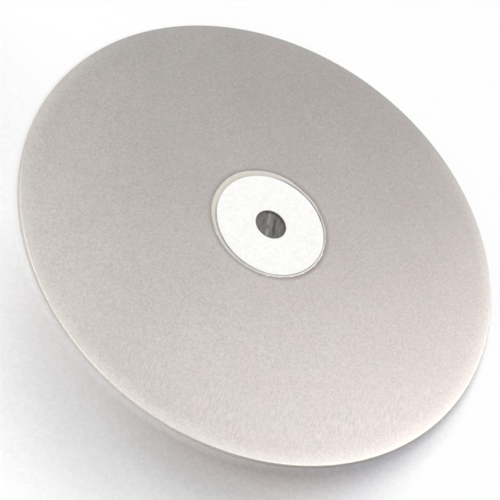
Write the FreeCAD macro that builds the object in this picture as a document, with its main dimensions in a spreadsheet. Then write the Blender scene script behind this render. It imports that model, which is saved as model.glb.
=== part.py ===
import FreeCAD, Part
import math
import os

import Sketcher
from FreeCAD import Vector

# A lapidary grinding disc of the 8 inch class. A blank of sheet steel carries a nickel
# plating full of fine diamond grit on its upper face and over its rim. The middle was
# masked in the plating bath, so it is bare steel, with a round paper label stuck on it.
# The disc lies on its back face at Z = 0, with the arbor bore's axis along Z.

doc = FreeCAD.newDocument("diamond_grinding_disc")

# Driving sizes, in millimetres, and one angle in degrees.
SIZES = (
    ("disc_diameter", 200.0, "over the plating"),
    ("blank_thickness", 1.0, "sheet steel"),
    ("arbor_bore", 12.7, "half inch arbor"),
    ("bore_edge_break", 0.1, "bevel at both ends of the bore"),
    ("back_edge_break", 0.15, "bevel of the rim at the back face"),
    ("rim_round", 0.3, "radius of the blank's rim at the upper face"),
    ("plating_thickness", 0.12, "nickel and diamond grit"),
    ("border_slope", 40.0, "lean of the plating's inner border, from upright"),
    ("label_diameter", 45.6, "outer edge of the paper label"),
    ("label_thickness", 0.1, "paper and glue"),
    ("label_hole_clearance", 0.2, "bore's wall to the label's hole, all round"),
    ("bare_ring_width", 1.7, "label's edge to the plating, on average"),
    ("mask_offset_x", -0.76, "the hand-placed mask lay off centre"),
    ("mask_offset_y", 0.26, "the hand-placed mask lay off centre"),
)

sizes = doc.addObject("Spreadsheet::Sheet", "sizes")
for row, (alias, value, meaning) in enumerate(SIZES, start=1):
    sizes.set("A%d" % row, alias)
    sizes.set("B%d" % row, str(value))
    sizes.set("C%d" % row, meaning)
    sizes.setAlias("B%d" % row, alias)
doc.recompute()

# Expressions for the radii and heights that several sketches share.
PLATED_RADIUS = "sizes.disc_diameter / 2"
BLANK_RADIUS = "sizes.disc_diameter / 2 - sizes.plating_thickness"
BORE_RADIUS = "sizes.arbor_bore / 2"
LABEL_RADIUS = "sizes.label_diameter / 2"
LABEL_HOLE_RADIUS = "sizes.arbor_bore / 2 + sizes.label_hole_clearance"
MASK_RADIUS = "sizes.label_diameter / 2 + sizes.bare_ring_width"
SKIRT_DEPTH = "sizes.blank_thickness - sizes.back_edge_break"

# The same radii as numbers, to draw with before the sheet takes over.
blank_radius = sizes.disc_diameter / 2 - sizes.plating_thickness
bore_radius = sizes.arbor_bore / 2
label_radius = sizes.label_diameter / 2
label_hole_radius = bore_radius + sizes.label_hole_clearance
mask_radius = label_radius + sizes.bare_ring_width


def new_body(name):
    """Starts a sub-part, whose label names its file."""
    body = doc.addObject("PartDesign::Body", name)
    body.Label = name
    return body


def new_sketch(body, name, plane_role):
    """Starts a sketch on one of the body's own origin planes."""
    plane = next(item for item in body.Origin.OriginFeatures if item.Role == plane_role)
    sketch = body.newObject("Sketcher::SketchObject", name)
    sketch.AttachmentSupport = [(plane, "")]
    sketch.MapMode = "FlatFace"
    return sketch


def bind(sketch, constraint, expression):
    """Adds a dimension to a sketch and ties it to the sheet."""
    index = sketch.addConstraint(constraint)
    sketch.setExpression("Constraints[%d]" % index, expression)


def add_centred_circle(sketch, radius, expression):
    """Draws a circle about the arbor's axis and ties its radius to the sheet."""
    circle = sketch.addGeometry(Part.Circle(Vector(0, 0, 0), Vector(0, 0, 1), radius))
    sketch.addConstraint(Sketcher.Constraint("Coincident", circle, 3, -1, 1))
    bind(sketch, Sketcher.Constraint("Radius", circle, radius), expression)


def same_length(first, second):
    """Tells whether two lengths agree as closely as the modeller can tell."""
    return abs(first - second) < Part.Precision.confusion()


def circle_edges(feature, radius, heights):
    """Names the circular edges about the Z axis with this radius at these heights."""
    names = []
    for number, edge in enumerate(feature.Shape.Edges, start=1):
        if not isinstance(edge.Curve, Part.Circle):
            continue
        same_radius = same_length(edge.Curve.Radius, radius)
        if same_radius and any(same_length(edge.Curve.Center.z, height) for height in heights):
            names.append("Edge%d" % number)
    return names


# Steel blank: cut from sheet, its rim rounded towards the plated face and its other
# edges bevelled.
steel_blank = new_body("steel_blank")
blank_outline = new_sketch(steel_blank, "blank_outline", "XY_Plane")
add_centred_circle(blank_outline, blank_radius, BLANK_RADIUS)
add_centred_circle(blank_outline, bore_radius, BORE_RADIUS)

blank_sheet = steel_blank.newObject("PartDesign::Pad", "blank_sheet")
blank_sheet.Profile = blank_outline
blank_sheet.setExpression("Length", "sizes.blank_thickness")
doc.recompute()

rim_rounding = steel_blank.newObject("PartDesign::Fillet", "rim_rounding")
rim_rounding.Base = (blank_sheet, circle_edges(blank_sheet, blank_radius, [sizes.blank_thickness]))
rim_rounding.setExpression("Radius", "sizes.rim_round")
doc.recompute()

back_bevel = steel_blank.newObject("PartDesign::Chamfer", "back_bevel")
back_bevel.Base = (rim_rounding, circle_edges(rim_rounding, blank_radius, [0.0]))
back_bevel.setExpression("Size", "sizes.back_edge_break")
doc.recompute()

bore_bevels = steel_blank.newObject("PartDesign::Chamfer", "bore_bevels")
bore_bevels.Base = (back_bevel, circle_edges(back_bevel, bore_radius, [0.0, sizes.blank_thickness]))
bore_bevels.setExpression("Size", "sizes.bore_edge_break")

# Diamond coating: plated on the upper face, round the rim and down to the back bevel,
# where the back was masked. Its own height zero is the steel's upper face.
diamond_coating = new_body("diamond_coating")
diamond_coating.setExpression("Placement.Base.z", "sizes.blank_thickness")
plating_section = new_sketch(diamond_coating, "plating_section", "XZ_Plane")


def plating_corners():
    """Gives the section's corners in order, and the centre of the bend round the rim."""
    inner = label_radius
    outer = sizes.disc_diameter / 2
    thickness = sizes.plating_thickness
    bend = sizes.rim_round
    skirt = -(sizes.blank_thickness - sizes.back_edge_break)
    centre = Vector(blank_radius - bend, -bend, 0)
    corners = [
        Vector(inner, 0, 0),
        Vector(centre.x, 0, 0),
        Vector(blank_radius, centre.y, 0),
        Vector(blank_radius, skirt, 0),
        Vector(outer, skirt, 0),
        Vector(outer, centre.y, 0),
        Vector(centre.x, thickness, 0),
        Vector(inner, thickness, 0),
    ]
    return corners, centre


def draw_plating_section(sketch):
    """Draws the plating's section: a flat, a bend round the rim and a skirt down its side."""
    corners, centre = plating_corners()
    quarter = math.pi / 2
    upright = Vector(0, 0, 1)
    bend = sizes.rim_round
    inner_bend_circle = Part.Circle(centre, upright, bend)
    outer_bend_circle = Part.Circle(centre, upright, bend + sizes.plating_thickness)

    underside = sketch.addGeometry(Part.LineSegment(corners[0], corners[1]))
    inner_bend = sketch.addGeometry(Part.ArcOfCircle(inner_bend_circle, 0, quarter))
    inner_side = sketch.addGeometry(Part.LineSegment(corners[2], corners[3]))
    skirt_end = sketch.addGeometry(Part.LineSegment(corners[3], corners[4]))
    outer_side = sketch.addGeometry(Part.LineSegment(corners[4], corners[5]))
    outer_bend = sketch.addGeometry(Part.ArcOfCircle(outer_bend_circle, 0, quarter))
    upper_face = sketch.addGeometry(Part.LineSegment(corners[6], corners[7]))
    inner_end = sketch.addGeometry(Part.LineSegment(corners[7], corners[0]))

    for line in (underside, skirt_end, upper_face):
        sketch.addConstraint(Sketcher.Constraint("Horizontal", line))
    for line in (inner_side, outer_side, inner_end):
        sketch.addConstraint(Sketcher.Constraint("Vertical", line))
    for first, second in ((inner_side, skirt_end), (skirt_end, outer_side), (upper_face, inner_end),
                          (inner_end, underside)):
        sketch.addConstraint(Sketcher.Constraint("Coincident", first, 2, second, 1))
    sketch.addConstraint(Sketcher.Constraint("Tangent", underside, 2, inner_bend, 2))
    sketch.addConstraint(Sketcher.Constraint("Tangent", inner_bend, 1, inner_side, 1))
    sketch.addConstraint(Sketcher.Constraint("Tangent", outer_side, 2, outer_bend, 1))
    sketch.addConstraint(Sketcher.Constraint("Tangent", outer_bend, 2, upper_face, 1))
    sketch.addConstraint(Sketcher.Constraint("Coincident", inner_bend, 3, outer_bend, 3))
    sketch.addConstraint(Sketcher.Constraint("PointOnObject", underside, 1, -1))

    bind(sketch, Sketcher.Constraint("Radius", inner_bend, bend), "sizes.rim_round")
    bind(sketch, Sketcher.Constraint("DistanceX", -1, 1, underside, 1, corners[0].x), LABEL_RADIUS)
    bind(sketch, Sketcher.Constraint("DistanceX", -1, 1, inner_side, 1, corners[2].x), BLANK_RADIUS)
    bind(sketch, Sketcher.Constraint("DistanceX", -1, 1, outer_side, 1, corners[4].x), PLATED_RADIUS)
    bind(sketch, Sketcher.Constraint("DistanceY", skirt_end, 1, -1, 1, -corners[3].y), SKIRT_DEPTH)


draw_plating_section(plating_section)
plating = diamond_coating.newObject("PartDesign::Revolution", "plating")
plating.Profile = plating_section
plating.ReferenceAxis = (plating_section, ["V_Axis"])
doc.recompute()

# The round mask kept the middle bare, and the plating thins out against its edge.
mask_outline = new_sketch(diamond_coating, "mask_outline", "XY_Plane")
mask_centre = Vector(sizes.mask_offset_x, sizes.mask_offset_y, 0)
mask_circle = mask_outline.addGeometry(Part.Circle(mask_centre, Vector(0, 0, 1), mask_radius))
bind(mask_outline, Sketcher.Constraint("Radius", mask_circle, mask_radius), MASK_RADIUS)
bind(mask_outline, Sketcher.Constraint("DistanceX", -1, 1, mask_circle, 3, mask_centre.x),
     "sizes.mask_offset_x")
bind(mask_outline, Sketcher.Constraint("DistanceY", -1, 1, mask_circle, 3, mask_centre.y),
     "sizes.mask_offset_y")

masked_middle = diamond_coating.newObject("PartDesign::Pocket", "masked_middle")
masked_middle.Profile = mask_outline
masked_middle.Reversed = True
masked_middle.setExpression("Length", "sizes.plating_thickness")
masked_middle.setExpression("TaperAngle", "sizes.border_slope")

# Centre label: a die-cut ring of white paper, lying on the bare steel.
centre_label = new_body("centre_label")
centre_label.setExpression("Placement.Base.z", "sizes.blank_thickness")
label_outline = new_sketch(centre_label, "label_outline", "XY_Plane")
add_centred_circle(label_outline, label_radius, LABEL_RADIUS)
add_centred_circle(label_outline, label_hole_radius, LABEL_HOLE_RADIUS)

label_paper = centre_label.newObject("PartDesign::Pad", "label_paper")
label_paper.Profile = label_outline
label_paper.setExpression("Length", "sizes.label_thickness")
doc.recompute()

SUB_PARTS = (steel_blank, diamond_coating, centre_label)

for item in doc.Objects:
    if {"Invalid", "Error"} & set(item.State):
        raise RuntimeError("%s failed: %s" % (item.Name, item.State))
for part in SUB_PARTS:
    if part.Shape.isNull() or not part.Shape.isValid():
        raise RuntimeError("%s has no valid shape" % part.Label)

os.makedirs("parts", exist_ok=True)
for part in SUB_PARTS:
    part.Shape.exportStep(os.path.join("parts", part.Label + ".step"))
    print("%s: %.1f mm3" % (part.Label, part.Shape.Volume))
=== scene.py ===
import math
import random

import bpy
from mathutils import Matrix, Vector


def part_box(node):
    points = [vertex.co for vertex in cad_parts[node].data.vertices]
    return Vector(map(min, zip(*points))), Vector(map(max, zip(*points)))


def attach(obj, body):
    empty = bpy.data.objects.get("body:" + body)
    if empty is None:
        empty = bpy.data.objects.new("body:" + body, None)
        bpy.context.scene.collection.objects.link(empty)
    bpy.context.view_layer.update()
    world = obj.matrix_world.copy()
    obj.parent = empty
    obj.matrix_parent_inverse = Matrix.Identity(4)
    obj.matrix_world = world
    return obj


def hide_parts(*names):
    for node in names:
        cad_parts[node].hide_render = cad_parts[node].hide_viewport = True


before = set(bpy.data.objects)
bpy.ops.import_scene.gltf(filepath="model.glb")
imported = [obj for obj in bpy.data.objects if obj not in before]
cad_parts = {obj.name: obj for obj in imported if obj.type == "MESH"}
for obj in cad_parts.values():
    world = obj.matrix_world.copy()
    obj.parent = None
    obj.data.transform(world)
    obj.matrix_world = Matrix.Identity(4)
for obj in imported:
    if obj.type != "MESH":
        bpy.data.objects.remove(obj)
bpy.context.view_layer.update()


# Steel blank: a flat round of sheet steel, ground on both faces and bored for the arbor.
# It shows bare between the label and the plating, in the bore, at the back bevel and
# on the back face, so it keeps the CAD shape and gets a ground finish.

BORE_RADIUS = 0.00635
LABEL_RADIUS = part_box("centre_label")[1].x
MASK_RADIUS = 0.02450
MASK_CENTRE = (-0.00076, 0.00026, 0)

STEEL_COLOUR = (0.600, 0.570, 0.538)
STEEL_STRAW_COLOUR = (0.610, 0.571, 0.521)
STEEL_ROUGHNESS = 0.46
STEEL_PATCH_SIZE = 0.0035
STEEL_PATCH_CONTRAST = 0.03
STEEL_SPECK_LEVEL = 0.90
UPPER_FACE_HEIGHTS = (0.0006, 0.0009)

GRINDING_DIRECTION = math.radians(100)
GRINDING_LINE_SPACING = 0.00016
GRINDING_LINE_LENGTH = 0.009
GRINDING_LINE_DETAIL = 2.0
GRINDING_LINE_DEPTH = 0.0000012
GRINDING_LINE_CONTRAST = 0.10
GRINDING_ROUGHNESS_CONTRAST = 0.15

# A dark line shows beside the label, darkest towards both ends of its way. Where the bare
# ring is narrow there is a thin line beside a ridge with a painted highlight. A one-sided
# mark has a direction in degrees, and the distances that way where it is 0 and 1.
LABEL_COVER = 0.001
LABEL_EDGE_LINE_WIDTH = 0.0010
LABEL_EDGE_LINE_LEVEL = 0.52
LABEL_EDGE_LINE_ROUGHNESS = 1.6
LABEL_EDGE_LINE_ON_SMOOTH_PATCHES = 0.6
LABEL_EDGE_LINE_DIRECTION = 66
LABEL_EDGE_LINE_ENDS = (0.014, 0.021)
LABEL_EDGE_LINE_FAR_END = (-0.020, -0.005)
LABEL_EDGE_LINE_AT_MIDDLE = 0.25
LABEL_EDGE_LINE_AT_NEAR_END = 0.75
PLATING_SIDE_BAND_WIDTH = 0.0016
PLATING_SIDE_BAND_FAR_END = (-0.022, -0.006)
PLATING_SIDE_BAND_LEVELS = (0.96, 1.05)
NARROW_SIDE = (336, 0.014, 0.0215)
THIN_LINE_WIDTH = 0.00045
THIN_LINE_LEVEL = 0.53
GLINT_RIDGE_LEVEL = 1.19
STRAW_SIDE = (174, 0.011, 0.024)
BORE_EDGE_DARK_WIDTH = 0.0006
BORE_EDGE_DARK_LEVEL = 0.66
BORE_EDGE_DARK_ROUGHNESS = 1.4


def add_node(tree, kind, inputs=(), **settings):
    """Adds a shader node, and gives each named input a value or a link."""
    node = tree.nodes.new("ShaderNode" + kind)
    for name, value in settings.items():
        setattr(node, name, value)
    for socket, value in dict(inputs).items():
        if isinstance(value, bpy.types.NodeSocket):
            tree.links.new(value, node.inputs[socket])
        else:
            node.inputs[socket].default_value = value
    return node


def calculate(tree, operation, *values):
    """Adds a Math node and gives its result."""
    return add_node(tree, "Math", enumerate(values), operation=operation).outputs["Value"]


def product(tree, *masks):
    """Multiplies masks with each other."""
    result = masks[0]
    for mask in masks[1:]:
        result = calculate(tree, "MULTIPLY", result, mask)
    return result


def vector_math(tree, operation, output, **values):
    """Adds a Vector Math node on the vectors called first and second, and gives its output."""
    names = {"first": 0, "second": 1, "scale": "Scale"}
    inputs = {names[name]: value for name, value in values.items()}
    return add_node(tree, "VectorMath", inputs, operation=operation).outputs[output]


def spread(tree, mask, low, high, start=0.0, end=1.0):
    """Turns a mask from start to end into a smooth value from low to high."""
    inputs = {"Value": mask, "From Min": start, "From Max": end, "To Min": low, "To Max": high}
    return add_node(tree, "MapRange", inputs, interpolation_type="SMOOTHSTEP").outputs["Result"]


def shares(tree, mask, low, high):
    """Turns a mask into a value that goes evenly from low to high."""
    inputs = {"Value": mask, "To Min": low, "To Max": high}
    return add_node(tree, "MapRange", inputs).outputs["Result"]


def scaled(tree, level, mask, low, high):
    """Multiplies a level by a factor that goes from low to high with the mask."""
    return calculate(tree, "MULTIPLY", level, shares(tree, mask, low, high))


def varied(tree, level, mask, contrast):
    """Lets a level vary with the mask, as far up as down."""
    return scaled(tree, level, mask, 1 - contrast, 1 + contrast)


def between(tree, mask, first, second):
    """Blends two colours, each one a value or a link, by a mask."""
    # A Mix node has its colours at inputs 6 and 7, and the blended one at output 2.
    inputs = {0: mask}
    for socket, colour in ((6, first), (7, second)):
        inputs[socket] = colour if isinstance(colour, bpy.types.NodeSocket) else (*colour, 1)
    return add_node(tree, "Mix", inputs, data_type="RGBA").outputs[2]


def shaded(tree, colour, level):
    """Multiplies a colour by a level."""
    return vector_math(tree, "SCALE", "Vector", first=colour, scale=level)


def distance_along(tree, place, degrees):
    """Measures how far a place lies from the bore's axis in one direction."""
    direction = math.radians(degrees)
    way = (math.cos(direction), math.sin(direction), 0)
    return vector_math(tree, "DOT_PRODUCT", "Value", first=place, second=way)


def one_sided(tree, place, degrees, start, end):
    """Makes a mask that grows in one direction, from 0 at one distance to 1 at another."""
    return spread(tree, distance_along(tree, place, degrees), 0.0, 1.0, start, end)


def new_group(name, inputs, outputs):
    """Starts a node group with its sockets, and gives its tree and both ends."""
    tree = bpy.data.node_groups.new(name, "ShaderNodeTree")
    for socket, kind in inputs:
        tree.interface.new_socket(socket, in_out="INPUT", socket_type="NodeSocket" + kind)
    for socket in outputs:
        tree.interface.new_socket(socket, in_out="OUTPUT", socket_type="NodeSocketFloat")
    start = tree.nodes.new("NodeGroupInput")
    end = tree.nodes.new("NodeGroupOutput")
    return tree, start.outputs, end.inputs


def use_group(tree, group, **inputs):
    """Places a node group in a material with its own values."""
    node = tree.nodes.new("ShaderNodeGroup")
    node.node_tree = group
    for socket, value in inputs.items():
        socket = socket.replace("_", " ")
        if isinstance(value, bpy.types.NodeSocket):
            tree.links.new(value, node.inputs[socket])
        else:
            node.inputs[socket].default_value = value
    return node.outputs


def new_material(name):
    """Starts a material and gives it, its tree, its shader and its object coordinates."""
    material = bpy.data.materials.new(name)
    material.use_nodes = True
    tree = material.node_tree
    shader = tree.nodes["Principled BSDF"]
    place = tree.nodes.new("ShaderNodeTexCoord").outputs["Object"]
    return material, tree, shader, place


def link_surface(tree, shader, colour, roughness, normal):
    """Links a finished colour, roughness and normal to a material's shader."""
    tree.links.new(colour, shader.inputs["Base Color"])
    tree.links.new(roughness, shader.inputs["Roughness"])
    tree.links.new(normal, shader.inputs["Normal"])


def add_bump(tree, height, depth, **inputs):
    """Turns a height into a normal, on top of another normal where one is given."""
    values = {"Height": height, "Distance": depth, "Strength": 1.0, **inputs}
    return add_node(tree, "Bump", values).outputs["Normal"]


# Lines of a grinder or a polishing pad, all one way: a noise drawn out along them.
LINE_NOISE = {"Scale": 1.0, "Roughness": 0.55}

grinding_lines, start, end = new_group(
    "grinding_lines",
    [("Vector", "Vector"), ("Direction", "Float"), ("Spacing", "Float"), ("Length", "Float"),
     ("Detail", "Float")],
    ["Lines"],
)
turn_back = calculate(grinding_lines, "MULTIPLY", start["Direction"], -1.0)
turned = add_node(grinding_lines, "VectorRotate", {"Vector": start["Vector"], "Angle": turn_back},
                  rotation_type="Z_AXIS").outputs["Vector"]
along = calculate(grinding_lines, "DIVIDE", 1.0, start["Length"])
across = calculate(grinding_lines, "DIVIDE", 1.0, start["Spacing"])
stretch = add_node(grinding_lines, "CombineXYZ", {"X": along, "Y": across, "Z": across}).outputs["Vector"]
stretched = vector_math(grinding_lines, "MULTIPLY", "Vector", first=turned, second=stretch)
lines = add_node(grinding_lines, "TexNoise",
                 {"Vector": stretched, "Detail": start["Detail"], **LINE_NOISE})
grinding_lines.links.new(lines.outputs["Fac"], end["Lines"])

# Soft cloudy unevenness that handling, rinsing and storage leave on a surface.
PATCH_NOISE = {"Detail": 3.0, "Roughness": 0.5}
SPECK_NOISE = {"Detail": 2.0, "Roughness": 0.6}
SPECKS_TO_A_PATCH = 14.0
PATCH_LIMITS = (0.3, 0.7)
SPECK_LIMITS = (0.62, 0.74)

handling, start, end = new_group(
    "handling",
    [("Vector", "Vector"), ("Patch Size", "Float")],
    ["Patches", "Specks"],
)
patch_scale = calculate(handling, "DIVIDE", 1.0, start["Patch Size"])
patches = add_node(handling, "TexNoise",
                   {"Vector": start["Vector"], "Scale": patch_scale, **PATCH_NOISE})
speck_scale = calculate(handling, "MULTIPLY", patch_scale, SPECKS_TO_A_PATCH)
specks = add_node(handling, "TexNoise",
                  {"Vector": start["Vector"], "Scale": speck_scale, **SPECK_NOISE})
handling.links.new(spread(handling, patches.outputs["Fac"], 0.0, 1.0, *PATCH_LIMITS), end["Patches"])
handling.links.new(spread(handling, specks.outputs["Fac"], 0.0, 1.0, *SPECK_LIMITS), end["Specks"])

# A round mask about a centre: 0 at one radius, 1 at the other, either one the larger.
round_mask, start, end = new_group(
    "round_mask",
    [("Vector", "Vector"), ("Centre", "Vector"), ("Start Radius", "Float"), ("End Radius", "Float")],
    ["Mask"],
)
offset = vector_math(round_mask, "SUBTRACT", "Vector", first=start["Vector"], second=start["Centre"])
flattened = vector_math(round_mask, "MULTIPLY", "Vector", first=offset, second=(1, 1, 0))
distance = vector_math(round_mask, "LENGTH", "Value", first=flattened)
round_mask.links.new(
    spread(round_mask, distance, 0.0, 1.0, start["Start Radius"], start["End Radius"]),
    end["Mask"],
)


def ring(tree, place, start_radius, end_radius, centre=(0, 0, 0)):
    """Places a round mask in a material."""
    return use_group(tree, round_mask, Vector=place, Centre=centre, Start_Radius=start_radius,
                     End_Radius=end_radius)["Mask"]


ground_steel, tree, shader, place = new_material("ground_steel")
lines = use_group(tree, grinding_lines, Vector=place, Direction=GRINDING_DIRECTION,
                  Spacing=GRINDING_LINE_SPACING, Length=GRINDING_LINE_LENGTH,
                  Detail=GRINDING_LINE_DETAIL)["Lines"]
marks = use_group(tree, handling, Vector=place, Patch_Size=STEEL_PATCH_SIZE)
height = add_node(tree, "SeparateXYZ", {"Vector": place}).outputs["Z"]
upper_face = spread(tree, height, 0.0, 1.0, *UPPER_FACE_HEIGHTS)
off_label = ring(tree, place, LABEL_RADIUS - LABEL_COVER, LABEL_RADIUS)
narrow_side = one_sided(tree, place, *NARROW_SIDE)
straw_side = product(tree, one_sided(tree, place, *STRAW_SIDE), upper_face)
# The steel is darker and rougher close to the bore's edge.
bore_edge_dark = ring(tree, place, BORE_RADIUS + BORE_EDGE_DARK_WIDTH, BORE_RADIUS + BORE_EDGE_DARK_WIDTH / 2)

# A dark, rougher line runs beside the label's edge.
label_edge_ring = ring(tree, place, LABEL_RADIUS + LABEL_EDGE_LINE_WIDTH, LABEL_RADIUS + LABEL_EDGE_LINE_WIDTH / 2)
along_line_way = distance_along(tree, place, LABEL_EDGE_LINE_DIRECTION)
line_ends = spread(tree, calculate(tree, "ABSOLUTE", along_line_way), 0.0, 1.0, *LABEL_EDGE_LINE_ENDS)
line_far_end = spread(tree, along_line_way, 0.0, 1.0, *LABEL_EDGE_LINE_FAR_END)
line_share_on_patches = spread(tree, marks["Patches"], LABEL_EDGE_LINE_ON_SMOOTH_PATCHES, 1.0)
label_edge_line = product(tree, label_edge_ring, off_label, upper_face, line_share_on_patches)
label_edge_line = scaled(tree, label_edge_line, line_ends, LABEL_EDGE_LINE_AT_MIDDLE, 1.0)
label_edge_line = scaled(tree, label_edge_line, line_far_end, LABEL_EDGE_LINE_AT_NEAR_END, 1.0)

# The bare ring is a little darker next to the label and lighter next to the plating.
plating_side_band = ring(tree, place, MASK_RADIUS - PLATING_SIDE_BAND_WIDTH, MASK_RADIUS, MASK_CENTRE)
plating_side_band_far_end = spread(tree, along_line_way, 0.0, 1.0, *PLATING_SIDE_BAND_FAR_END)
plating_side_band = product(tree, plating_side_band, plating_side_band_far_end, upper_face)
# Painted highlight: a glint along the ridge where the bare ring is narrow.
glint_ridge = product(tree, plating_side_band, narrow_side)
thin_line = ring(tree, place, LABEL_RADIUS + THIN_LINE_WIDTH, LABEL_RADIUS)
thin_line = product(tree, thin_line, off_label, narrow_side)

level = varied(tree, 1.0, lines, GRINDING_LINE_CONTRAST)
level = varied(tree, level, marks["Patches"], STEEL_PATCH_CONTRAST)
level = scaled(tree, level, marks["Specks"], 1.0, STEEL_SPECK_LEVEL)
level = scaled(tree, level, plating_side_band, *PLATING_SIDE_BAND_LEVELS)
level = scaled(tree, level, glint_ridge, 1.0, GLINT_RIDGE_LEVEL)
level = scaled(tree, level, thin_line, 1.0, THIN_LINE_LEVEL)
level = scaled(tree, level, label_edge_line, 1.0, LABEL_EDGE_LINE_LEVEL)
level = scaled(tree, level, bore_edge_dark, 1.0, BORE_EDGE_DARK_LEVEL)
tint = between(tree, straw_side, STEEL_COLOUR, STEEL_STRAW_COLOUR)
roughness = varied(tree, STEEL_ROUGHNESS, lines, GRINDING_ROUGHNESS_CONTRAST)
roughness = scaled(tree, roughness, label_edge_line, 1.0, LABEL_EDGE_LINE_ROUGHNESS)
roughness = scaled(tree, roughness, bore_edge_dark, 1.0, BORE_EDGE_DARK_ROUGHNESS)
link_surface(tree, shader, shaded(tree, tint, level), roughness, add_bump(tree, lines, GRINDING_LINE_DEPTH))
shader.inputs["Metallic"].default_value = 1.0

steel_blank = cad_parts["steel_blank"]
steel_blank.material_slots[0].material = ground_steel


# Diamond coating: nickel with fine diamond grit, electroplated over the upper face,
# round the rim and down its side. A round mask kept the middle bare, so the plating
# ends there in a thin uneven border. It replaces the coarser CAD solid.

PLATED_RADIUS = -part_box("diamond_coating")[0].x
PLATED_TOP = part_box("diamond_coating")[1].z
SKIRT_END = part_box("diamond_coating")[0].z
STEEL_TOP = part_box("steel_blank")[1].z
STEEL_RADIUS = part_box("steel_blank")[1].x
RIM_ROUND = 0.0003
FACE_HEIGHT = PLATED_TOP - 0.00001
SIDE_RING_HEIGHT = 0.0004
PLATING_SEGMENTS = 360
RIM_STEPS = 6
ROLL_OFF_START = 0.0980
ROLL_OFF_STEPS = 3
ROLL_OFF_DROP = 0.00001
FACE_RING_RADII = (0.090, 0.075, 0.060, 0.045, 0.035, 0.030, 0.0270, 0.0262, 0.0257, 0.0253, 0.0250, 0.0248)
UNDERSIDE_RING_RADII = (0.0270, 0.060)
BORDER_SLOPE_WIDTH = 0.0001
BORDER_CREST_ROUND = 0.00002
BORDER_CREST_CUT = 0.00003
BORDER_ZONE_RADIUS = 0.0267
WELD_DISTANCE = 0.000001
SMOOTH_ANGLE = math.radians(35)

# Where the border leans in or out, and where a flake is missing: degrees and shifts.
BORDER_LEANS = ((16, -0.00018), (50, -0.00020), (84, -0.00022), (104, 0.00020), (120, 0.00022),
                (150, 0.00008), (178, -0.00018), (192, -0.00014), (222, -0.00016), (312, -0.00014))
LEAN_REACH = 0.0050
WAVER_SEED = 11
WAVER_STEP = 5
WAVER_STRAY = 2
WAVER_SHIFT = 0.00009
WAVER_REACH = 0.0010
MISSING_FLAKES = ((-62, 0.00030), (-50, 0.00022), (-38, 0.00026), (-24, 0.00034), (-9, 0.00024),
                  (7, 0.00030), (24, 0.00018), (196, 0.00024), (236, 0.00020))
FLAKE_REACH = 0.00075

PLATING_ROUGHNESS = 0.330
PLATING_PATCH_SIZE = 0.035
PLATING_PATCH_CONTRAST = 0.01
PLATING_SPECK_LEVEL = 0.97
PATCH_ROUGHNESS_CONTRAST = 0.02
GRAIN_SIZE = 0.00042
GRAIN_HEIGHT = 0.0000016
GRAIN_REACH = 0.7
GRAIN_CONTRAST = 0.098
GRAIN_ROUGHNESS_CONTRAST = 0.04
CLUSTER_SIZE = 0.00080
CLUSTER_CONTRAST = 0.045

# Bands of the face and the side, each from the radius where it is 0 to the one where it
# is 1. The fringe and the pits lie about the mask's centre, the others about the bore.
RIM_BAND =(0.0929, PLATED_RADIUS)
CREAM_HIGHLIGHT_AND_SMOOTH_EDGE = (0.0955, 0.0995)
ROUGH_EDGE = (0.0995, 0.0996)
SIDE = (0.0996, PLATED_RADIUS - 0.00005)
EDGE_GLINT_INNER = (0.0990, 0.0993)
EDGE_GLINT_OUTER = (0.0998, 0.0996)
FRINGE = (MASK_RADIUS + 0.0022, MASK_RADIUS + 0.0002)
PIT_BAND = (MASK_RADIUS + 0.0013, MASK_RADIUS + 0.0006)
PAD_BAND_INNER = (0.073, 0.082)
PAD_BAND_OUTER = (0.0965, 0.090)

# One-sided marks, by direction and distances as above.
FAR_RIM_PAINTED_SHADE =(115, 0.040, 0.088)
LEFT_RIM_PAINTED_SHADE = (226, 0.080, 0.098)
PAINTED_LIGHT_SIDE = (245, 0.030, 0.070)
PAINTED_SHADE_SIDE = (333, 0.045, 0.098)
EDGE_GLINT = (280, 0.080, 0.096)
DARK_FRINGE = (341, 0.0215, 0.0240)
PAD_NEAR_SIDE = (270, 0.002, 0.035)

PLATING_PINK = (0.4830, 0.4410, 0.4270)
PLATING_GREY = (0.4735, 0.4465, 0.4265)
PINK_DIRECTION = 20
PINK_LIMITS = (-0.070, 0.060)
MOTTLE_SIZE = 0.010
MOTTLE_SHIFT = 0.055
RIM_HIGHLIGHT_CREAM = (0.482, 0.461, 0.435)
RIM_SHADE_GREY = (0.467, 0.459, 0.447)
SIDE_PINK = (0.488, 0.456, 0.432)

# Levels and roughness of the marks, as shares of the plain plating's.
RIM_BAND_LEVEL = 1.15
RIM_BAND_SHARE_IN_FAR_SHADE = 0.2
RIM_BAND_SHARE_IN_LEFT_SHADE = 0.30
WHOLE_SIDE_PAINTED_LIGHT_LEVEL = 1.44
PAINTED_LIGHT_SIDE_LEVEL = 1.25
PAINTED_LIGHT_SIDE_HEIGHTS = (0.0006, 0.0010)
PAINTED_SHADE_SIDE_LEVEL = 0.78
EDGE_GLINT_LEVEL = 1.14
ROUGH_EDGE_ROUGHNESS = 1.75
FRINGE_LEVEL = 0.71
DARK_FRINGE_LEVEL = 0.86
FRINGE_ROUGHNESS = 1.25
PIT_PATCH_SIZE = 0.0072
PIT_LEVEL = 0.52

# Marks of a pad that was rubbed over the near part of the face. It smoothed the grains.
PAD_MARK_DIRECTION = math.radians(104)
PAD_MARK_SPACING = 0.00056
PAD_MARK_LENGTH = 0.0038
PAD_MARK_DETAIL = 1.0
PAD_MARK_DEPTH = 0.0000015
PAD_MARK_CONTRAST = 0.090
PAD_LINE_LIMITS = (0.30, 0.70)
PAD_PATCH_SIZE = 0.016
PAD_PATCH_LIMITS = (0.1, 0.7)
PAD_LEAST_RUBBED = 0.45
PAD_LEFT_END = (-0.045, 0.015)
PAD_LEFT_SHARE = 0.12
SMOOTHED_SHARE = 0.5


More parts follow.
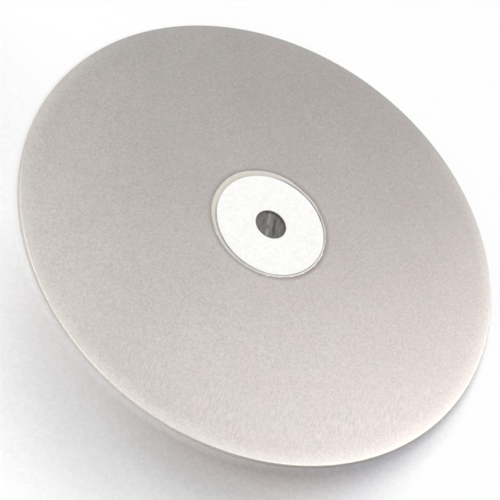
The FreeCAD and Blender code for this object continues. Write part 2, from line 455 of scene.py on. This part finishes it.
def turned_shell(name, profile, segments):
    """Turns a closed section ring by ring, from the radius and height of its corners."""
    radius, height = profile[0]
    bpy.ops.object.select_all(action="DESELECT")
    bpy.ops.mesh.primitive_circle_add(vertices=segments, radius=radius, location=(0, 0, height))
    piece = bpy.context.object
    piece.name = name
    piece.data.name = name
    bpy.ops.object.transform_apply(location=True, rotation=True, scale=True)
    bpy.ops.object.mode_set(mode="EDIT")
    bpy.ops.mesh.select_all(action="SELECT")
    for next_radius, next_height in profile[1:]:
        lift = (0, 0, next_height - height)
        widening = next_radius / radius
        bpy.ops.mesh.extrude_edges_move(TRANSFORM_OT_translate={"value": lift})
        bpy.ops.transform.resize(value=(widening, widening, 1), center_override=(0, 0, 0))
        radius, height = next_radius, next_height
    bpy.ops.mesh.select_all(action="SELECT")
    bpy.ops.mesh.remove_doubles(threshold=WELD_DISTANCE)
    bpy.ops.mesh.normals_make_consistent(inside=False)
    bpy.ops.object.mode_set(mode="OBJECT")
    return piece


def select_points(piece, wanted):
    """Selects the points of a piece that pass a test, and leaves it in edit mode."""
    bpy.ops.object.mode_set(mode="EDIT")
    bpy.ops.mesh.select_mode(type="VERT")
    bpy.ops.mesh.select_all(action="DESELECT")
    bpy.ops.object.mode_set(mode="OBJECT")
    for vertex in piece.data.vertices:
        vertex.select = wanted(vertex.co)
    bpy.ops.object.mode_set(mode="EDIT")


def pull(piece, degrees, centre, radius, shift, reach):
    """Pulls the ring near one place outwards or inwards, with what lies within reach."""
    angle = math.radians(degrees)
    direction = Vector((math.cos(angle), math.sin(angle), 0))
    target = Vector(centre) + direction * radius
    near = reach / 3
    select_points(piece, lambda point: (point.xy - target.xy).length < near)
    bpy.ops.transform.translate(value=direction * shift, use_proportional_edit=True,
                                proportional_edit_falloff="SMOOTH", proportional_size=reach)
    bpy.ops.object.mode_set(mode="OBJECT")


bend_radius = PLATED_RADIUS - (STEEL_RADIUS - RIM_ROUND)
bend_centre = (STEEL_RADIUS - RIM_ROUND, STEEL_TOP - RIM_ROUND)
bend_rise = FACE_HEIGHT - ROLL_OFF_DROP - bend_centre[1]
angles = [math.pi / 2 * step / RIM_STEPS for step in range(RIM_STEPS + 1)]
outer_bend = [(bend_centre[0] + bend_radius * math.cos(angle),
               bend_centre[1] + bend_rise * math.sin(angle)) for angle in angles]
inner_bend = [(bend_centre[0] + RIM_ROUND * math.cos(angle),
               bend_centre[1] + RIM_ROUND * math.sin(angle)) for angle in reversed(angles)]
roll_off_width = bend_centre[0] - ROLL_OFF_START
roll_off = [(bend_centre[0] - roll_off_width * step / ROLL_OFF_STEPS,
             FACE_HEIGHT - ROLL_OFF_DROP * (1 - step / ROLL_OFF_STEPS) ** 2)
            for step in range(1, ROLL_OFF_STEPS + 1)]
border_crest = MASK_RADIUS + BORDER_SLOPE_WIDTH
plating_profile = [(PLATED_RADIUS, SKIRT_END), (PLATED_RADIUS, SIDE_RING_HEIGHT)]
plating_profile += outer_bend
plating_profile += roll_off
plating_profile += [(radius, FACE_HEIGHT) for radius in FACE_RING_RADII]
plating_profile += [(border_crest + BORDER_CREST_ROUND, FACE_HEIGHT),
                    (border_crest - BORDER_CREST_CUT, FACE_HEIGHT - BORDER_CREST_ROUND)]
plating_profile += [(radius, STEEL_TOP) for radius in (MASK_RADIUS, *UNDERSIDE_RING_RADII)]
plating_profile += inner_bend
plating_profile += [(STEEL_RADIUS, SKIRT_END), (PLATED_RADIUS, SKIRT_END)]

plating = turned_shell("diamond_plating_layer", plating_profile, PLATING_SEGMENTS)
select_points(plating, lambda point: point.xy.length < BORDER_ZONE_RADIUS)
bpy.ops.transform.translate(value=MASK_CENTRE)
bpy.ops.object.mode_set(mode="OBJECT")

# The mask wasn't quite round, its border wavers, and a few flakes are missing from it.
for degrees, shift in BORDER_LEANS:
    pull(plating, degrees, MASK_CENTRE, border_crest, shift, LEAN_REACH)
border_waver = random.Random(WAVER_SEED)
for degrees in range(0, 360, WAVER_STEP):
    degrees += border_waver.randint(-WAVER_STRAY, WAVER_STRAY)
    shift = border_waver.uniform(-WAVER_SHIFT, WAVER_SHIFT)
    pull(plating, degrees, MASK_CENTRE, border_crest, shift, WAVER_REACH)
for degrees, shift in MISSING_FLAKES:
    pull(plating, degrees, MASK_CENTRE, border_crest, shift, FLAKE_REACH)
bpy.ops.object.shade_smooth_by_angle(angle=SMOOTH_ANGLE)

# Diamond grit: one random shade to each grain, and a small hump where it stands.
grit, start, end = new_group("grit", [("Vector", "Vector"), ("Grain Size", "Float")], ["Shade", "Height"])
grain_scale = calculate(grit, "DIVIDE", 1.0, start["Grain Size"])
grains = add_node(grit, "TexVoronoi", {"Vector": start["Vector"], "Scale": grain_scale})
shades = add_node(grit, "SeparateColor", {"Color": grains.outputs["Color"]})
hump = spread(grit, grains.outputs["Distance"], 1.0, 0.0, 0.0, GRAIN_REACH)
grit.links.new(shades.outputs["Red"], end["Shade"])
grit.links.new(calculate(grit, "MULTIPLY", hump, shades.outputs["Green"]), end["Height"])

diamond_nickel, tree, shader, place = new_material("diamond_nickel")
place_on_face = add_node(tree, "SeparateXYZ", {"Vector": place}).outputs
grains = use_group(tree, grit, Vector=place, Grain_Size=GRAIN_SIZE)
clusters = use_group(tree, grit, Vector=place, Grain_Size=CLUSTER_SIZE)
marks = use_group(tree, handling, Vector=place, Patch_Size=PLATING_PATCH_SIZE)

# The pad's marks fade out towards the rim, the middle, the far side and the left.
pad_lines = use_group(tree, grinding_lines, Vector=place, Direction=PAD_MARK_DIRECTION,
                      Spacing=PAD_MARK_SPACING, Length=PAD_MARK_LENGTH, Detail=PAD_MARK_DETAIL)["Lines"]
pad_patches = use_group(tree, handling, Vector=place, Patch_Size=PAD_PATCH_SIZE)["Patches"]
rubbed = product(tree, spread(tree, pad_patches, PAD_LEAST_RUBBED, 1.0, *PAD_PATCH_LIMITS),
                 ring(tree, place, *PAD_BAND_INNER), ring(tree, place, *PAD_BAND_OUTER),
                 one_sided(tree, place, *PAD_NEAR_SIDE),
                 spread(tree, place_on_face["X"], PAD_LEFT_SHARE, 1.0, *PAD_LEFT_END))
pad_marks = product(tree, rubbed, spread(tree, pad_lines, -1.0, 1.0, *PAD_LINE_LIMITS))

# On its far stretch the rim band is greyer and darker, and at the left it is darker too: both
# are painted shade. The side carries painted light, most low down along its near left
# stretch, and painted shade along its near right one.
far_rim_painted_shade = one_sided(tree, place, *FAR_RIM_PAINTED_SHADE)
# A band near the rim: its grains are smoothed, and it gets a painted cream highlight tint.
cream_highlight_and_smooth_edge = ring(tree, place, *CREAM_HIGHLIGHT_AND_SMOOTH_EDGE)
rim_share = spread(tree, far_rim_painted_shade, 1.0, RIM_BAND_SHARE_IN_FAR_SHADE)
rim_band = product(tree, ring(tree, place, *RIM_BAND), rim_share)
rim_band = scaled(tree, rim_band, one_sided(tree, place, *LEFT_RIM_PAINTED_SHADE), 1.0, RIM_BAND_SHARE_IN_LEFT_SHADE)
side = ring(tree, place, *SIDE)
side_foot = spread(tree, place_on_face["Z"], 1.0, 0.0, *PAINTED_LIGHT_SIDE_HEIGHTS)
painted_light_side = product(tree, side, one_sided(tree, place, *PAINTED_LIGHT_SIDE), side_foot)
painted_shade_side = product(tree, side, one_sided(tree, place, *PAINTED_SHADE_SIDE))
# Painted highlight: a glint along the edge of the rim's near stretch.
edge_glint = product(tree, one_sided(tree, place, *EDGE_GLINT), ring(tree, place, *EDGE_GLINT_INNER),
                     ring(tree, place, *EDGE_GLINT_OUTER))

# Along its inner border the plating is thin and dull, and pitted where it flaked.
fringe = ring(tree, place, *FRINGE, MASK_CENTRE)
dark_fringe = product(tree, fringe, one_sided(tree, place, *DARK_FRINGE))
pits = use_group(tree, handling, Vector=place, Patch_Size=PIT_PATCH_SIZE)["Specks"]
border_pits = product(tree, pits, ring(tree, place, *PIT_BAND, MASK_CENTRE))

grain_level = varied(tree, 1.0, grains["Shade"], GRAIN_CONTRAST)
grain_level = varied(tree, grain_level, clusters["Shade"], CLUSTER_CONTRAST)
smoothed = calculate(tree, "MULTIPLY", calculate(tree, "MAXIMUM", rubbed, cream_highlight_and_smooth_edge), SMOOTHED_SHARE)
smoothing = product(tree, calculate(tree, "SUBTRACT", 1.0, grain_level), smoothed)
level = calculate(tree, "ADD", grain_level, smoothing)
level = varied(tree, level, marks["Patches"], PLATING_PATCH_CONTRAST)
level = scaled(tree, level, marks["Specks"], 1.0, PLATING_SPECK_LEVEL)
level = scaled(tree, level, rim_band, 1.0, RIM_BAND_LEVEL)
# Painted light on the whole side, more low down at its near left, and painted shade at its near right.
level = scaled(tree, level, side, 1.0, WHOLE_SIDE_PAINTED_LIGHT_LEVEL)
level = scaled(tree, level, painted_light_side, 1.0, PAINTED_LIGHT_SIDE_LEVEL)
level = scaled(tree, level, painted_shade_side, 1.0, PAINTED_SHADE_SIDE_LEVEL)
level = scaled(tree, level, edge_glint, 1.0, EDGE_GLINT_LEVEL)
level = scaled(tree, level, fringe, 1.0, FRINGE_LEVEL)
level = scaled(tree, level, dark_fringe, 1.0, DARK_FRINGE_LEVEL)
level = scaled(tree, level, border_pits, 1.0, PIT_LEVEL)
level = product(tree, level, calculate(tree, "MULTIPLY_ADD", pad_marks, PAD_MARK_CONTRAST, 1.0))

# The plating is pinker at one side of the face and greyer at the other, in mottles.
mottles = use_group(tree, handling, Vector=place, Patch_Size=MOTTLE_SIZE)["Patches"]
mottle_shift = shares(tree, mottles, -MOTTLE_SHIFT, MOTTLE_SHIFT)
pink_place = calculate(tree, "ADD", distance_along(tree, place, PINK_DIRECTION), mottle_shift)
pink_share = spread(tree, pink_place, 0.0, 1.0, *PINK_LIMITS)
tint = between(tree, pink_share, PLATING_GREY, PLATING_PINK)
# Painted highlight tint: cream near the rim, greyer on its far stretch of painted shade.
tint = between(tree, cream_highlight_and_smooth_edge, tint, between(tree, far_rim_painted_shade, RIM_HIGHLIGHT_CREAM, RIM_SHADE_GREY))
tint = between(tree, side, tint, SIDE_PINK)
roughness = varied(tree, PLATING_ROUGHNESS, grains["Shade"], GRAIN_ROUGHNESS_CONTRAST)
roughness = varied(tree, roughness, marks["Patches"], PATCH_ROUGHNESS_CONTRAST)
roughness = scaled(tree, roughness, ring(tree, place, *ROUGH_EDGE), 1.0, ROUGH_EDGE_ROUGHNESS)
roughness = scaled(tree, roughness, fringe, 1.0, FRINGE_ROUGHNESS)
pad_bump = add_bump(tree, pad_marks, PAD_MARK_DEPTH)
grit_bump = add_bump(tree, grains["Height"], GRAIN_HEIGHT, Normal=pad_bump)
link_surface(tree, shader, shaded(tree, tint, level), roughness, grit_bump)
shader.inputs["Metallic"].default_value = 1.0
plating.data.materials.append(diamond_nickel)

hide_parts("diamond_coating")
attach(plating, "root")


# Centre label: a die-cut ring of plain white paper, glued to the bare steel. Its cut
# edges are a little soft, and it is left blank. It replaces the plain CAD ring.

LABEL_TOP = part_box("centre_label")[1].z
LABEL_HOLE_RADIUS = 0.00655
LABEL_RING_RADII = (0.0224, 0.0215, 0.018, 0.013, 0.009, 0.0072)
LABEL_UNDERSIDE_RING_RADIUS = 0.013
LABEL_SEGMENTS = 240
PAPER_EDGE = 0.00003
DIE_WEAR_SEED = 5
DIE_WEAR_PLACES = 9
DIE_WEAR_STRAY = 0.4
DIE_WEAR_SHIFTS = (0.00002, 0.00006)
DIE_WEAR_REACH = 0.0030
LABEL_FLAT_DIRECTION = 334
LABEL_FLAT_SHIFT = 0.00012
LABEL_FLAT_REACH = 0.0100

PAPER_COLOUR = (0.950, 0.943, 0.930)
PAPER_PALE_COLOUR = (0.950, 0.946, 0.938)
PAPER_ROUGHNESS = 0.82
PAPER_ROUGHNESS_CONTRAST = 0.08
PAPER_SPECULAR = 0.3
PAPER_PATCH_SIZE = 0.005
PAPER_PATCH_LEVELS = (0.990, 1.004)
FIBRE_DIRECTIONS = (math.radians(35), math.radians(112))
FIBRE_SPACING = 0.0008
FIBRE_LENGTH = 0.0018
FIBRE_DETAIL = 2.0
FIBRE_HEIGHT = 0.000005
FIBRE_LEVELS = (0.82, 1.17)
CUT_EDGE_WIDTH = 0.0003
CUT_EDGE_LEVEL = 0.92
HOLE_EDGE_LEVEL = 0.94

label_profile = [
    (LABEL_RADIUS, STEEL_TOP), (LABEL_RADIUS, LABEL_TOP - PAPER_EDGE),
    (LABEL_RADIUS - PAPER_EDGE / 3, LABEL_TOP - PAPER_EDGE / 3), (LABEL_RADIUS - PAPER_EDGE, LABEL_TOP),
    *[(radius, LABEL_TOP) for radius in LABEL_RING_RADII],
    (LABEL_HOLE_RADIUS + PAPER_EDGE, LABEL_TOP),
    (LABEL_HOLE_RADIUS + PAPER_EDGE / 3, LABEL_TOP - PAPER_EDGE / 3),
    (LABEL_HOLE_RADIUS, LABEL_TOP - PAPER_EDGE), (LABEL_HOLE_RADIUS, STEEL_TOP),
    (LABEL_UNDERSIDE_RING_RADIUS, STEEL_TOP), (LABEL_RADIUS, STEEL_TOP),
]
label = turned_shell("paper_label", label_profile, LABEL_SEGMENTS)
die_wear = random.Random(DIE_WEAR_SEED)
for turn in range(DIE_WEAR_PLACES):
    degrees = 360 * (turn + die_wear.uniform(-DIE_WEAR_STRAY, DIE_WEAR_STRAY)) / DIE_WEAR_PLACES
    pull(label, degrees, (0, 0, 0), LABEL_RADIUS, -die_wear.uniform(*DIE_WEAR_SHIFTS), DIE_WEAR_REACH)
pull(label, LABEL_FLAT_DIRECTION, (0, 0, 0), LABEL_RADIUS, -LABEL_FLAT_SHIFT, LABEL_FLAT_REACH)
bpy.ops.object.shade_smooth_by_angle(angle=SMOOTH_ANGLE)

label_paper, tree, shader, place = new_material("label_paper")
fibres, cross_fibres = [
    use_group(tree, grinding_lines, Vector=place, Direction=direction, Spacing=FIBRE_SPACING,
              Length=FIBRE_LENGTH, Detail=FIBRE_DETAIL)["Lines"] for direction in FIBRE_DIRECTIONS
]
fibre_height = calculate(tree, "MULTIPLY", calculate(tree, "ADD", fibres, cross_fibres), 0.5)
marks = use_group(tree, handling, Vector=place, Patch_Size=PAPER_PATCH_SIZE)
cut_edge = ring(tree, place, LABEL_RADIUS - CUT_EDGE_WIDTH, LABEL_RADIUS)
hole_edge = ring(tree, place, LABEL_HOLE_RADIUS + CUT_EDGE_WIDTH, LABEL_HOLE_RADIUS)
level = scaled(tree, 1.0, fibre_height, *FIBRE_LEVELS)
level = scaled(tree, level, marks["Patches"], *PAPER_PATCH_LEVELS)
level = scaled(tree, level, cut_edge, 1.0, CUT_EDGE_LEVEL)
level = scaled(tree, level, hole_edge, 1.0, HOLE_EDGE_LEVEL)
tint = between(tree, marks["Patches"], PAPER_COLOUR, PAPER_PALE_COLOUR)
roughness = varied(tree, PAPER_ROUGHNESS, fibre_height, PAPER_ROUGHNESS_CONTRAST)
paper_bump = add_bump(tree, fibre_height, FIBRE_HEIGHT)
link_surface(tree, shader, shaded(tree, tint, level), roughness, paper_bump)
shader.inputs["Specular IOR Level"].default_value = PAPER_SPECULAR
label.data.materials.append(label_paper)

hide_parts("centre_label")
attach(label, "root")


# Floor: a pale matt bench top that the disc lies on, curving up far away like a paper
# sweep. Its soft grey painted shadow lies where the photo has it, and under the bore it has
# a dark painted shade.

FLOOR_RADIUS = 1.6
FLOOR_LEVEL = -0.00002
FLOOR_SEGMENTS = 96
SWEEP_STEPS = ((1.06, 0.01), (1.06, 0.05), (1.05, 0.11), (1.03, 0.19), (1.01, 0.30))
FLOOR_COLOUR = (0.97, 0.97, 0.97)
FLOOR_DARKEST = (0.01, 0.01, 0.01)
FLOOR_ROUGHNESS = 0.7
FLOOR_SPECULAR = 0.1
FLOOR_PATCH_SIZE = 0.06
FLOOR_PATCH_CONTRAST = 0.005

# Each patch of shade has its centre, its radius, its softness and its depth. The shade
# takes more or less of each colour, by what the disc and the room throw into it.
SHADE_PATCHES = (
    ((0.018, -0.018, 0), 0.080, 0.007, 0.45),
    ((0.005, -0.066, 0), 0.068, 0.024, 0.35),
    ((0.005, -0.0035, 0), 0.0947, 0.003, 0.99),
    ((0.025, -0.047, 0), 0.0655, 0.0125, 0.28),
    ((-0.140, -0.075, 0), 0.050, 0.045, 0.12),
)
SHADE_TAKES = (0.970, 0.967, 0.957)
WARM_SHADE_TAKES = (0.926, 0.977, 0.992)
COOL_SHADE_TAKES = (0.950, 0.985, 0.900)
WARM_BAND = (0.126, 0.104)
WARM_STRETCH = (270, 0.055, 0.092)
COOL_BAND = (0.0995, 0.1030)
COOL_STRETCH = (348, 0.080, 0.104)
PAPER_GRAIN = 0.0010
PAPER_GRAIN_SHIFT = 0.024
PAPER_GRAIN_DEPTHS = (0, 0.06)

# Close to the rim the shade thins out, most at the left and at the near left.
NEAR_RIM =(0.1036, 0.0995)
LEFT_STRETCH = (205, 0.075, 0.095)
LEFT_LIFT_SHARES = (0.33, 0.90)
RIM_FOOT = (0.1010, 0.1001)
NEAR_LEFT_STRETCH = (225, -0.010, 0.105)
FOOT_LIFT_SHARES = (0.0, 0.38)
UNDER_EDGE = (0.1002, 0.0999)
UNDER_EDGE_LIFT_SHARE = 0.45

# What shows through the bore: a dark painted shade with painted streaks and bars of light
# and shade. Each bar has its centre, half its width, half its length and its level.
UNDER_BORE = (0.0085, 0.0080)
BORE_SHADE_COLOUR = (0.188, 0.181, 0.170)
BORE_STREAK_SPACING = 0.0013
BORE_STREAK_LENGTH = 0.0045
BORE_STREAK_DETAIL = 2.0
BORE_STREAK_LIMITS = (0.3, 0.7)
BORE_STREAK_LEVELS = (0.80, 1.20)
BORE_BAR_DIRECTION = math.radians(112)
BORE_BARS = (
    ((-0.00185, 0.00290, 0), 0.00055, 0.0032, 1.60),
    ((0.00170, 0.00060, 0), 0.00060, 0.0045, 0.56),
    ((0.00060, -0.00360, 0), 0.00060, 0.0019, 1.45),
    ((-0.00290, -0.00040, 0), 0.00080, 0.0016, 0.78),
)
BAR_END_LIMITS = (0.6, 1.3)
BAR_SIDE_LIMITS = (0.3, 1.7)

bpy.ops.object.select_all(action="DESELECT")
bpy.ops.mesh.primitive_circle_add(vertices=FLOOR_SEGMENTS, radius=FLOOR_RADIUS, fill_type="NGON",
                                  location=(0, 0, FLOOR_LEVEL))
floor = bpy.context.object
floor.name = "floor"
bpy.ops.object.transform_apply(location=True, rotation=True, scale=True)
bpy.ops.object.mode_set(mode="EDIT")
bpy.ops.mesh.select_all(action="SELECT")
for widening, lift in SWEEP_STEPS:
    bpy.ops.mesh.extrude_region_move(TRANSFORM_OT_translate={"value": (0, 0, lift)})
    bpy.ops.transform.resize(value=(widening, widening, 1), center_override=(0, 0, 0))
bpy.ops.mesh.delete(type="ONLY_FACE")
bpy.ops.object.mode_set(mode="OBJECT")
bpy.ops.object.shade_smooth()

# Soft bars of painted light and shade in the painted shade under the bore.
soft_bar, start, end = new_group(
    "soft_bar",
    [("Vector", "Vector"), ("Centre", "Vector"), ("Direction", "Float"), ("Half Width", "Float"),
     ("Half Length", "Float")],
    ["Mask"],
)
offset = vector_math(soft_bar, "SUBTRACT", "Vector", first=start["Vector"], second=start["Centre"])
turn_back = calculate(soft_bar, "MULTIPLY", start["Direction"], -1.0)
turned = add_node(soft_bar, "VectorRotate", {"Vector": offset, "Angle": turn_back}, rotation_type="Z_AXIS")
place_on_bar = add_node(soft_bar, "SeparateXYZ", {"Vector": turned.outputs["Vector"]}).outputs
bar_masks = []
for axis, half_size, limits in (("X", "Half Length", BAR_END_LIMITS), ("Y", "Half Width", BAR_SIDE_LIMITS)):
    off_centre = calculate(soft_bar, "ABSOLUTE", place_on_bar[axis])
    share = calculate(soft_bar, "DIVIDE", off_centre, start[half_size])
    bar_masks.append(spread(soft_bar, share, 1.0, 0.0, *limits))
soft_bar.links.new(product(soft_bar, *bar_masks), end["Mask"])

bench_top, tree, shader, place = new_material("bench_top")
marks = use_group(tree, handling, Vector=place, Patch_Size=FLOOR_PATCH_SIZE)
level = varied(tree, 1.0, marks["Patches"], FLOOR_PATCH_CONTRAST)
for centre, radius, softness, depth in SHADE_PATCHES:
    shade = ring(tree, place, radius + softness, radius - softness, centre)
    level = scaled(tree, level, shade, 1.0, 1.0 - depth)

# Close to the rim the bright side of the disc lights the floor, so the shade is lifted.
left_lift = scaled(tree, ring(tree, place, *NEAR_RIM), one_sided(tree, place, *LEFT_STRETCH),
                   *LEFT_LIFT_SHARES)
foot_lift = scaled(tree, ring(tree, place, *RIM_FOOT), one_sided(tree, place, *NEAR_LEFT_STRETCH),
                   *FOOT_LIFT_SHARES)
edge_lift = product(tree, ring(tree, place, *UNDER_EDGE), UNDER_EDGE_LIFT_SHARE)
lift_share = calculate(tree, "ADD", calculate(tree, "ADD", left_lift, foot_lift), edge_lift)
lift_share = calculate(tree, "MINIMUM", lift_share, 1.0)
depth = product(tree, calculate(tree, "SUBTRACT", 1.0, level), calculate(tree, "SUBTRACT", 1.0, lift_share))

# The disc's side throws a warm light on the shade close to its near stretch, and the
# room a cool one on its right stretch.
warm_stretch = product(tree, ring(tree, place, *WARM_BAND), one_sided(tree, place, *WARM_STRETCH))
cool_stretch = product(tree, ring(tree, place, *COOL_BAND), one_sided(tree, place, *COOL_STRETCH))
takes = between(tree, warm_stretch, SHADE_TAKES, WARM_SHADE_TAKES)
takes = between(tree, cool_stretch, takes, COOL_SHADE_TAKES)
paper_grain = use_group(tree, grit, Vector=place, Grain_Size=PAPER_GRAIN)["Shade"]
grain_shift = product(tree, shares(tree, paper_grain, -PAPER_GRAIN_SHIFT, PAPER_GRAIN_SHIFT),
                      spread(tree, depth, 0.0, 1.0, *PAPER_GRAIN_DEPTHS))
taken = shaded(tree, takes, calculate(tree, "ADD", depth, grain_shift))
left_over = vector_math(tree, "SUBTRACT", "Vector", first=FLOOR_COLOUR, second=taken)
shaded_floor = vector_math(tree, "MAXIMUM", "Vector", first=left_over, second=FLOOR_DARKEST)

streaks = use_group(tree, grinding_lines, Vector=place, Direction=BORE_BAR_DIRECTION,
                    Spacing=BORE_STREAK_SPACING, Length=BORE_STREAK_LENGTH,
                    Detail=BORE_STREAK_DETAIL)["Lines"]
# The painted shade under the bore, with lighter and darker painted streaks.
bore_shade_level = spread(tree, streaks, *BORE_STREAK_LEVELS, *BORE_STREAK_LIMITS)
for centre, half_width, half_length, strength in BORE_BARS:
    bar = use_group(tree, soft_bar, Vector=place, Centre=centre, Direction=BORE_BAR_DIRECTION,
                    Half_Width=half_width, Half_Length=half_length)["Mask"]
    bore_shade_level = scaled(tree, bore_shade_level, bar, 1.0, strength)
painted_bore_shade = shaded(tree, BORE_SHADE_COLOUR, bore_shade_level)
floor_colour = between(tree, ring(tree, place, *UNDER_BORE), shaded_floor, painted_bore_shade)
tree.links.new(floor_colour, shader.inputs["Base Color"])
shader.inputs["Roughness"].default_value = FLOOR_ROUGHNESS
shader.inputs["Specular IOR Level"].default_value = FLOOR_SPECULAR
floor.data.materials.append(bench_top)


# Studio light: an even white room, four soft lamps beyond the disc whose sheen falls on
# the near and right part of the face, and a low one at the right that catches the rim.

ROOM_LEVEL = 0.70

# Each lamp has its elevation and its direction in degrees, its strength and its softness.
LAMPS = (
    ("high_back_lamp", 58, 82, 0.045, 8),
    ("left_back_lamp", 67, 131, 0.445, 8),
    ("low_back_lamp", 40, 66, 0.120, 8),
    ("right_back_lamp", 56, 56, 0.216, 8),
    ("right_side_lamp", 25, 42, 0.70, 30),
)

world = bpy.data.worlds.new("studio")
world.use_nodes = True
world.node_tree.nodes["Background"].inputs["Color"].default_value = (1, 1, 1, 1)
world.node_tree.nodes["Background"].inputs["Strength"].default_value = ROOM_LEVEL
bpy.context.scene.world = world

for name, elevation, azimuth, strength, softness in LAMPS:
    elevation, azimuth = math.radians(elevation), math.radians(azimuth)
    towards = Vector((math.cos(elevation) * math.cos(azimuth), math.cos(elevation) * math.sin(azimuth),
                      math.sin(elevation)))
    data = bpy.data.lights.new(name, "SUN")
    data.energy = strength
    data.angle = math.radians(softness)
    lamp = bpy.data.objects.new(name, data)
    lamp.rotation_euler = towards.to_track_quat("Z", "Y").to_euler()
    bpy.context.scene.collection.objects.link(lamp)


# Camera: it looks down on the disc from its near side, turned about its own axis, so
# the disc stands slantwise in the picture as in the photograph.

CAMERA_PLACE = (-0.00052, -0.29300, 0.35079)
CAMERA_TILT = math.radians(38.318)
CAMERA_ROLL = math.radians(36.944)
CAMERA_LENS = 83.26
CAMERA_SENSOR = 36.0
CAMERA_CLIP = (0.01, 20.0)

camera_data = bpy.data.cameras.new("camera")
camera_data.sensor_width = CAMERA_SENSOR
camera_data.lens = CAMERA_LENS
camera_data.clip_start, camera_data.clip_end = CAMERA_CLIP
camera = bpy.data.objects.new("camera", camera_data)
bpy.context.scene.collection.objects.link(camera)
camera.matrix_world = (Matrix.Translation(CAMERA_PLACE) @ Matrix.Rotation(CAMERA_TILT, 4, "X")
                       @ Matrix.Rotation(CAMERA_ROLL, 4, "Z"))
bpy.context.scene.camera = camera
bpy.context.scene.view_settings.view_transform = "Standard"
